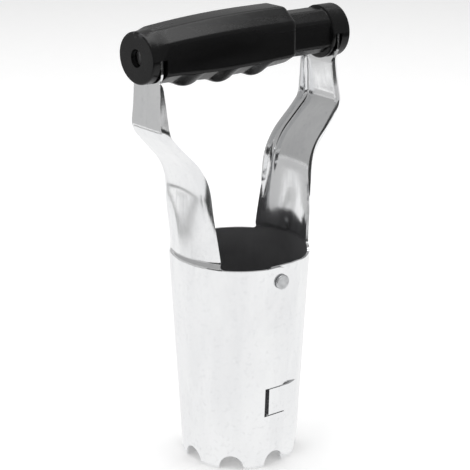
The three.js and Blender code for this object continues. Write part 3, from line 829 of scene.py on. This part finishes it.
def painted_inner_shade():
    """The inside of the tube, in painted shade: a dull steel coloured charcoal dark for the shade inside
    the tube.
    """
    n = Nodes("painted_inner_shade")
    n.shader.inputs["Metallic"].default_value = 0.35
    n.shader.inputs["Specular IOR Level"].default_value = 0.25
    patches = n.noise(60, 4, 0.6, distortion=0.5)
    marks = n.noise(700, 2, 0.5, stretch=(1, 1, 0.05))
    colour = n.mix(n.range(patches, 0, 1), (0.15, 0.15, 0.155), (0.19, 0.19, 0.195))
    rough = n.math("ADD", n.range(patches, 0.5, 0.66), n.range(marks, 0, 0.08))
    grain = n.bump(marks, 0.00003, 0.6)
    return n.finish(colour, rough, grain)


def rivet_steel():
    n = Nodes("rivet_steel")
    n.shader.inputs["Metallic"].default_value = 1
    clouds = n.noise(260, 4, 0.6)
    pits = n.noise(1500, 2, 0.6)
    colour = n.mix(n.range(clouds, 0, 1), (0.7, 0.71, 0.72), (0.52, 0.525, 0.535))
    rough = n.range(clouds, 0.28, 0.45)
    normal = n.bump(pits, 0.00005, 0.5, n.bump(clouds, 0.00015, 0.6))
    return n.finish(colour, rough, normal)


def drawn_steel():
    """Spring wire and screws: darker, with marks along the wire and a little soil-brown in places."""
    n = Nodes("drawn_steel")
    n.shader.inputs["Metallic"].default_value = 1
    clouds = n.noise(180, 4, 0.6)
    marks = n.noise(1800, 2, 0.5)
    colour = n.mix(n.range(clouds, 0, 1), (0.5, 0.51, 0.52), (0.36, 0.355, 0.35))
    return n.finish(colour, n.range(clouds, 0.25, 0.42), n.bump(marks, 0.00004, 0.5))


def black_plastic():
    """Moulded black plastic: satin, finely spark-eroded, and scuffed paler where hands rub it."""
    n = Nodes("black_plastic")
    n.shader.inputs["Specular IOR Level"].default_value = 0.24
    texture = n.noise(2600, 2, 0.6)
    flow = n.noise(70, 3, 0.5, stretch=(0.25, 1, 1))
    scuffs = n.noise(240, 5, 0.7, stretch=(0.5, 1, 1), distortion=0.6)
    near_cap = n.range(n.height(0), 1, 0.12, -0.056, -0.038)
    above = n.range(n.height(2), 0, 1, 0.2185, 0.2215)
    worn = n.math("MULTIPLY", n.math("MULTIPLY", n.range(scuffs, 0, 1, 0.52, 0.66), near_cap), above)
    base = n.mix(n.range(flow, 0, 1), (0.0025, 0.0025, 0.0027), (0.005, 0.005, 0.0052))
    colour = n.mix(worn, base, (0.085, 0.085, 0.088))
    rough = n.math("ADD", n.range(flow, 0.2, 0.3), n.range(worn, 0, 0.2, 0, 1))
    fine = n.bump(texture, 0.00003, 0.5)
    return n.finish(colour, rough, n.bump(flow, 0.0003, 0.25, fine))


def pale_floor():
    n = Nodes("pale_floor")
    n.shader.inputs["Specular IOR Level"].default_value = 0.1
    paper = n.noise(60, 4, 0.5)
    colour = n.mix(n.range(paper, 0, 1), (0.93, 0.93, 0.93), (0.9, 0.9, 0.9))
    n.shader.inputs["Emission Color"].default_value = (1, 1, 1, 1)
    n.shader.inputs["Emission Strength"].default_value = 0.22
    return n.finish(colour, n.range(paper, 0.8, 0.9), n.bump(n.noise(900, 2), 0.00005, 0.2))


STEEL = bright_steel()
# The tube's inside takes a charcoal-dark steel that is painted shade.
INNER_SHADE = painted_inner_shade()
RIVET_STEEL = rivet_steel()
DRAWN = drawn_steel()
PLASTIC = black_plastic()


def set_material(obj, material):
    obj.data.materials.clear()
    obj.data.materials.append(material)


def paint_inner_shade(obj):
    """Gives the charcoal-dark painted shade to the faces that look towards the tube's axis, below the rim.
    """
    facing, top, near_axis = 0.75, (TUBE_HEIGHT + 1.5) * MM, 0.02
    obj.data.materials.append(INNER_SHADE)
    for polygon in obj.data.polygons:
        x, y, z = polygon.center
        nx, ny, _ = polygon.normal
        towards = -(x * nx + y * ny) / max(math.hypot(x, y), 1e-6)
        if towards > facing and z < top and math.hypot(x, y) > near_axis:
            polygon.material_index = 1


# ---- Pieces ----


def place(obj, body, node, slot, material):
    """Shades a piece, gives it its material, and lets it ride on its body in place of the frame's node."""
    shade(obj)
    set_material(obj, material)
    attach(obj, body)
    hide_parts(node)
    return obj


for side, body in ((-1, "left_side"), (1, "right_side")):
    word = body.split("_")[0]
    piece = pressed_half(f"{word}_pressing", side)
    place(piece, body, f"{word}_half", "bright_steel", STEEL)
    # Paints shade inside the tube: the faces towards its axis take the charcoal-dark steel.
    paint_inner_shade(piece)
place(rivet("front_rivet_set", -1), "left_side", "front_rivet", "rivet_steel", RIVET_STEEL)
place(rivet("rear_rivet_set", 1), "left_side", "rear_rivet", "rivet_steel", RIVET_STEEL)
place(grip_sleeve(), "grip", "grip_sleeve", "black_plastic", PLASTIC)
place(grip_plunger(), "plunger", "grip_plunger", "black_plastic", PLASTIC)
spring = place(return_spring(), "grip", "return_spring", "spring_steel", DRAWN)
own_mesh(spring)
for name in ("left_handle_screw", "right_handle_screw"):
    set_material(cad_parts[name], DRAWN)

# ---- Studio ----

FLOOR_HALF = 12000
FLOOR_DEPTH = -0.2
CARD_STEPS = 24
BRIGHT_CARD_HEIGHT = 0.2
DARK_CARD_HEIGHT = 0.4

floor_corners = [(-1, -1), (1, -1), (1, 1), (-1, 1)]
floor_points = [(x * FLOOR_HALF, y * FLOOR_HALF, FLOOR_DEPTH) for x, y in floor_corners]
floor = mesh_object("floor", floor_points, [(0, 1, 2, 3)])
set_material(floor, pale_floor())


def area_light(name, place_at, look_at, size, power, reflected=True):
    light = bpy.data.lights.new(name, "AREA")
    light.shape = "RECTANGLE"
    light.size, light.size_y = size
    light.energy = power
    obj = bpy.data.objects.new(name, light)
    obj.location = place_at
    obj.rotation_euler = (Vector(look_at) - Vector(place_at)).to_track_quat("-Z", "Y").to_euler()
    obj.visible_glossy = reflected
    bpy.context.scene.collection.objects.link(obj)


area_light("overhead", (0.1, 0.2, 1.5), (0, 0, 0.1), (1.4, 1.4), 15)
area_light("left_softbox", (-1.4, -0.1, 0.7), (0, 0, 0.1), (1.0, 1.2), 5, reflected=False)
area_light("right_softbox", (0.7, -1.3, 0.6), (0, 0, 0.1), (0.8, 0.8), 3, reflected=False)


def reflector(name, inner, outer, start, end, level):
    """A card just over the floor that only shows in reflections: a sector between two radii and directions.
    The radii are in metres and the directions in degrees, and level is how bright the card is."""
    turns = [math.radians(lerp(start, end, k / CARD_STEPS)) for k in range(CARD_STEPS + 1)]
    height = BRIGHT_CARD_HEIGHT if level > 0.5 else DARK_CARD_HEIGHT
    rays = [(math.cos(a), math.sin(a)) for a in turns]
    points = [(r * x / MM, r * y / MM, height) for x, y in rays for r in (inner, outer)]
    faces = [(2 * k, 2 * k + 1, 2 * k + 3, 2 * k + 2) for k in range(CARD_STEPS)]
    card = mesh_object(name, points, faces)
    glow = bpy.data.materials.new(name)
    glow.use_nodes = True
    shader = glow.node_tree.nodes["Principled BSDF"]
    shader.inputs["Base Color"].default_value = (0, 0, 0, 1)
    shader.inputs["Specular IOR Level"].default_value = 0
    shader.inputs["Emission Color"].default_value = (level, level, level, 1)
    shader.inputs["Emission Strength"].default_value = 1
    set_material(card, glow)
    card.visible_camera = False
    card.visible_diffuse = False
    card.visible_shadow = False


reflector("white_card", 0.031, 0.44, -180, 180, 0.95)
reflector("dark_card_front", 0.47, 1.8, -178, -90, 0.03)
reflector("dark_card_right", 0.56, 1.8, -90, -10, 0.03)
reflector("grey_card_left", 0.47, 1.8, 85, 182, 0.54)
reflector("grey_patch", 0.375, 0.42, 118, 150, 0.3)
reflector("dark_patch", 0.37, 0.425, 150, 180, 0.02)

# The sky is a little darker at the horizon than overhead.
world = bpy.data.worlds.new("studio")
world.use_nodes = True
sky = world.node_tree
direction = sky.nodes.new("ShaderNodeTexCoord")
split = sky.nodes.new("ShaderNodeSeparateXYZ")
gradient = sky.nodes.new("ShaderNodeValToRGB")
gradient.color_ramp.elements[0].position = 0.0
gradient.color_ramp.elements[0].color = (0.9, 0.9, 0.9, 1)
gradient.color_ramp.elements[1].position = 0.9
gradient.color_ramp.elements[1].color = (1.0, 1.0, 1.0, 1)
sky.links.new(direction.outputs["Generated"], split.inputs[0])
sky.links.new(split.outputs["Z"], gradient.inputs["Fac"])
sky.links.new(gradient.outputs["Color"], sky.nodes["Background"].inputs["Color"])
sky.nodes["Background"].inputs["Strength"].default_value = 0.42
bpy.context.scene.world = world
bpy.context.scene.view_settings.view_transform = "Standard"

# ---- Camera ----

camera_data = bpy.data.cameras.new("camera")
camera_data.lens = 118.5
camera_data.sensor_width = 36
camera_data.clip_start = 0.05
camera = bpy.data.objects.new("camera", camera_data)
camera.location = (-0.4406, -0.5784, 0.3567)
target = Vector((-0.00259, 0, 0.11452))
camera.rotation_euler = (target - camera.location).to_track_quat("-Z", "Y").to_euler()
bpy.context.scene.collection.objects.link(camera)
bpy.context.scene.camera = camera

bpy.context.view_layer.update()
